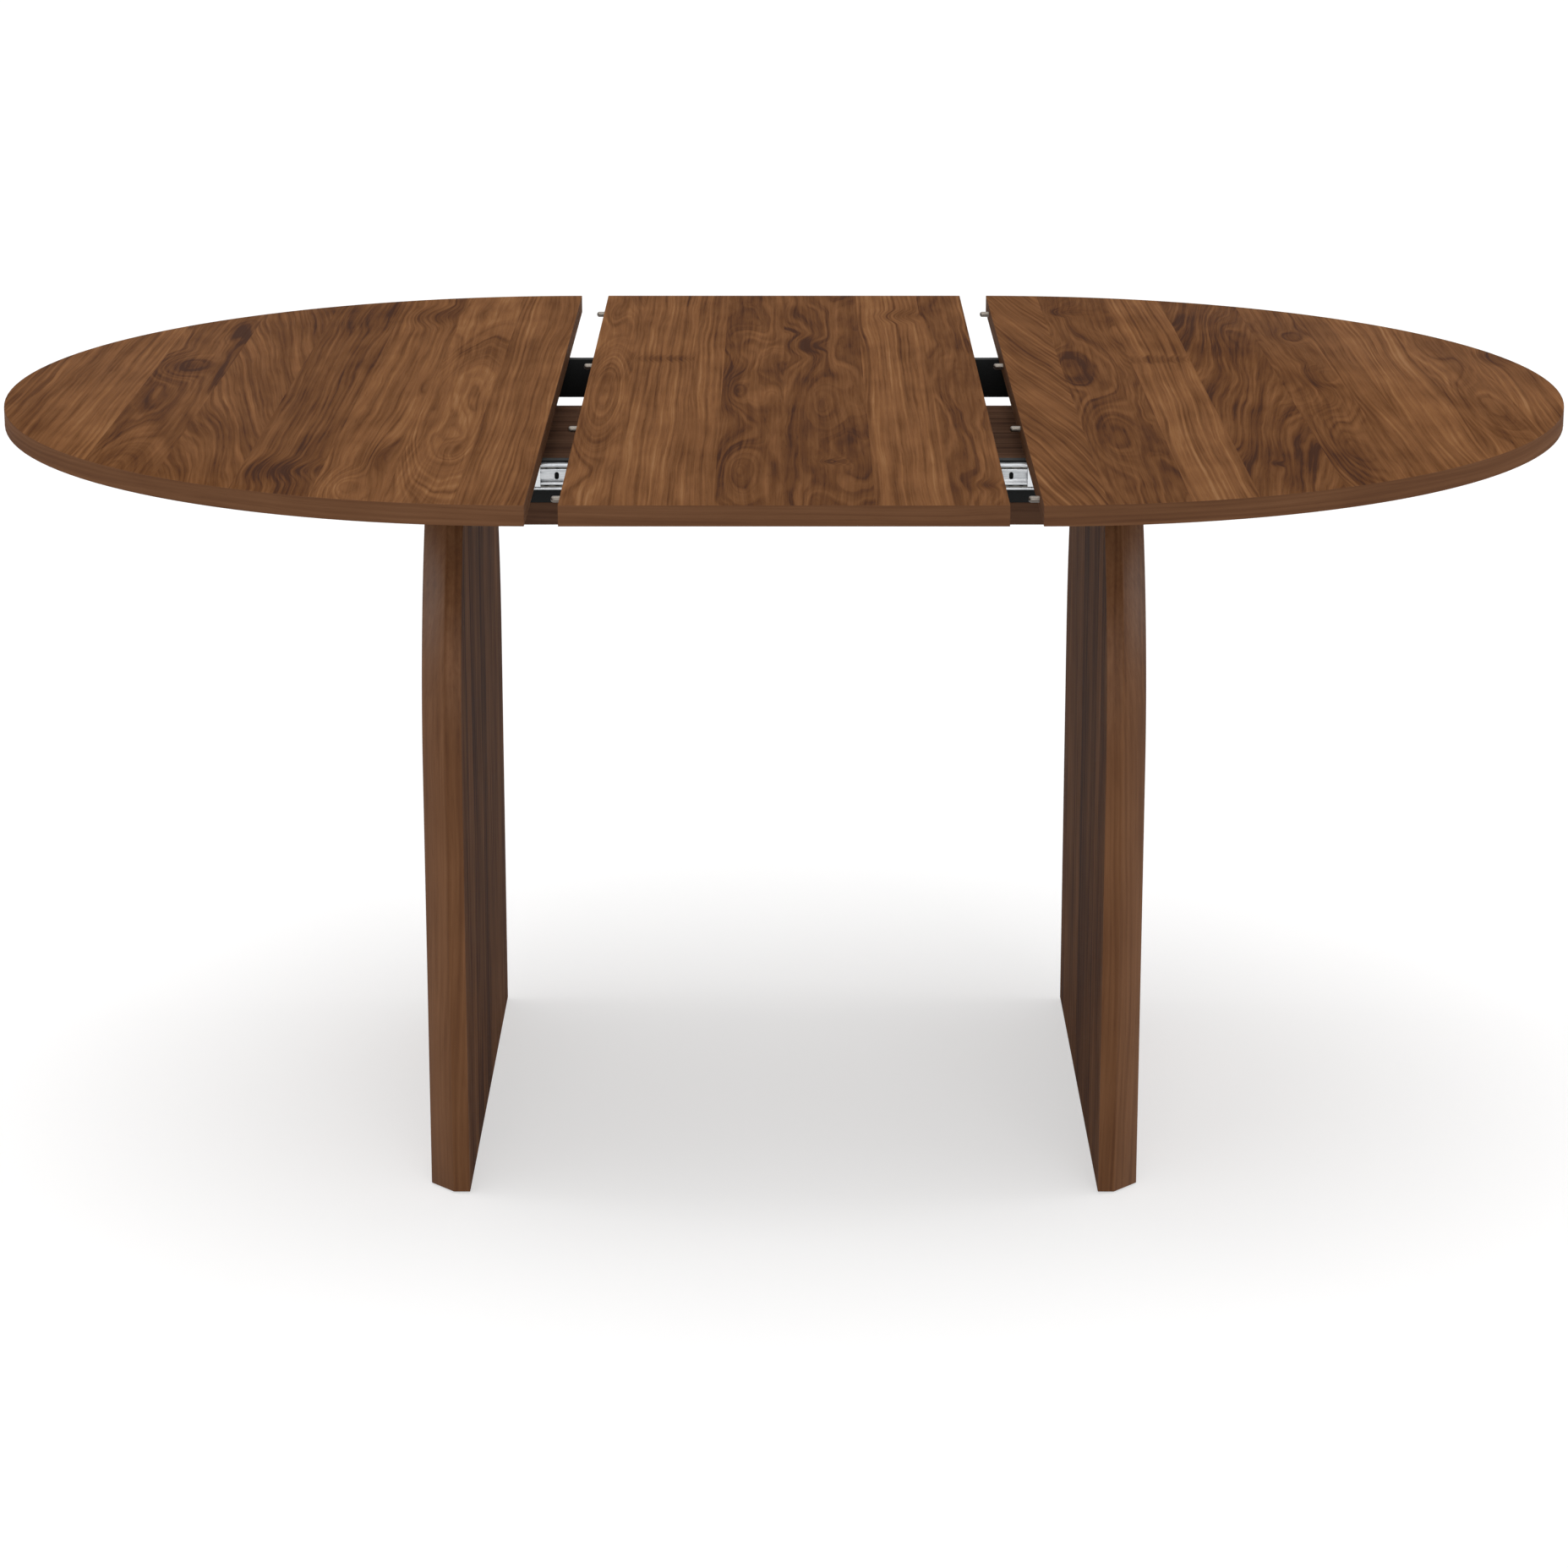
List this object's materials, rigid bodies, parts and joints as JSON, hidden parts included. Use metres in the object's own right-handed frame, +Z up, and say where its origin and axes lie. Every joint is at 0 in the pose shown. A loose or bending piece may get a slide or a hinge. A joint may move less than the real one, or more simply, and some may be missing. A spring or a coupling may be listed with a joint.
{
  "type": "extending dining table",
  "caption": "Walnut extending dining table: two half-round tops on ball-bearing slides, a loose leaf, two panel legs.",
  "frame": {"origin": "on the floor, under the middle of the leaf, halfway between the legs", "axes": "+X along the extension, to the right in the picture; +Y to the back; +Z up"},
  "size_m": [1.5598, 1.1, 0.754],
  "materials": {
    "walnut_top": "stained walnut veneer, satin lacquer, planks run front to back",
    "walnut_leg": "stained walnut, satin lacquer",
    "walnut_board": "stained walnut, matt lacquer",
    "black_powder_coat": "black powder coat",
    "black_oxide_steel": "black oxide",
    "zinc_plated_steel": "bright zinc plate",
    "slide_steel": "cold-rolled, zinc plated",
    "cage_steel": "stamped, zinc plated",
    "pin_steel": "turned, satin",
    "black_plastic": "moulded, matt black",
    "nylon": "natural nylon",
    "felt": "needle felt"
  },
  "bodies": {
    "base": {"tie_board": "walnut_board", "right_leg": "walnut_leg", "left_leg": "walnut_leg", "front_rail": "black_powder_coat", "rear_rail": "black_powder_coat", "rail_end_caps": "black_plastic", "right_strap": "black_powder_coat", "centre_strap": "black_powder_coat", "left_strap": "black_powder_coat", "right_corner_brackets": "zinc_plated_steel", "left_corner_brackets": "zinc_plated_steel", "strap_board_screws": "black_oxide_steel", "strap_rail_bolts": "black_oxide_steel", "right_leg_felt_strips": "felt", "left_leg_felt_strips": "felt", "right_leg_slip_strips": "nylon", "left_leg_slip_strips": "nylon", "front_right_outer_member": "slide_steel", "front_left_outer_member": "slide_steel", "rear_right_outer_member": "slide_steel", "rear_left_outer_member": "slide_steel"},
    "left_top": {"left_half_top": "walnut_top", "left_bracket_screws": "zinc_plated_steel", "front_left_inner_member": "slide_steel", "front_left_angle_bracket": "zinc_plated_steel", "rear_left_inner_member": "slide_steel", "rear_left_angle_bracket": "zinc_plated_steel"},
    "left_middle_members": {"front_left_middle_member": "slide_steel", "rear_left_middle_member": "slide_steel"},
    "left_outer_cages": {"front_left_outer_ball_cage": "cage_steel", "rear_left_outer_ball_cage": "cage_steel"},
    "left_inner_cages": {"front_left_inner_ball_cage": "cage_steel", "rear_left_inner_ball_cage": "cage_steel"},
    "right_top": {"right_half_top": "walnut_top", "right_bracket_screws": "zinc_plated_steel", "front_right_inner_member": "slide_steel", "front_right_angle_bracket": "zinc_plated_steel", "rear_right_inner_member": "slide_steel", "rear_right_angle_bracket": "zinc_plated_steel", "right_top_pins": "pin_steel"},
    "right_middle_members": {"front_right_middle_member": "slide_steel", "rear_right_middle_member": "slide_steel"},
    "right_outer_cages": {"front_right_outer_ball_cage": "cage_steel", "rear_right_outer_ball_cage": "cage_steel"},
    "right_inner_cages": {"front_right_inner_ball_cage": "cage_steel", "rear_right_inner_ball_cage": "cage_steel"},
    "leaf": {"extension_leaf": "walnut_top", "leaf_pins": "pin_steel"}
  },
  "joints": [
    {"name": "left_top_slide", "type": "slide", "parent": "base", "child": "left_top", "axis": [-1, 0, 0], "range_m": [-0.0299, 0.02]},
    {"name": "left_middle_slide", "type": "slide", "parent": "base", "child": "left_middle_members", "axis": [-1, 0, 0], "range_m": [-0.015, 0.0101]},
    {"name": "left_outer_cage_slide", "type": "slide", "parent": "base", "child": "left_outer_cages", "axis": [-1, 0, 0], "range_m": [-0.0075, 0.0051]},
    {"name": "left_inner_cage_slide", "type": "slide", "parent": "base", "child": "left_inner_cages", "axis": [-1, 0, 0], "range_m": [-0.0225, 0.0151]},
    {"name": "right_top_slide", "type": "slide", "parent": "base", "child": "right_top", "axis": [1, 0, 0], "range_m": [-0.0299, 0.02]},
    {"name": "right_middle_slide", "type": "slide", "parent": "base", "child": "right_middle_members", "axis": [1, 0, 0], "range_m": [-0.015, 0.0101]},
    {"name": "right_outer_cage_slide", "type": "slide", "parent": "base", "child": "right_outer_cages", "axis": [1, 0, 0], "range_m": [-0.0075, 0.0051]},
    {"name": "right_inner_cage_slide", "type": "slide", "parent": "base", "child": "right_inner_cages", "axis": [1, 0, 0], "range_m": [-0.0225, 0.0151]},
    {"name": "leaf_lift", "type": "slide", "parent": "base", "child": "leaf", "axis": [0, 0, 1], "range_m": [0, 0.3]}
  ],
  "couplings": [
    {"joint": "left_middle_slide", "follows": "left_top_slide", "ratio": 0.5},
    {"joint": "left_outer_cage_slide", "follows": "left_top_slide", "ratio": 0.25},
    {"joint": "left_inner_cage_slide", "follows": "left_top_slide", "ratio": 0.75},
    {"joint": "right_middle_slide", "follows": "right_top_slide", "ratio": 0.5},
    {"joint": "right_outer_cage_slide", "follows": "right_top_slide", "ratio": 0.25},
    {"joint": "right_inner_cage_slide", "follows": "right_top_slide", "ratio": 0.75}
  ]
}
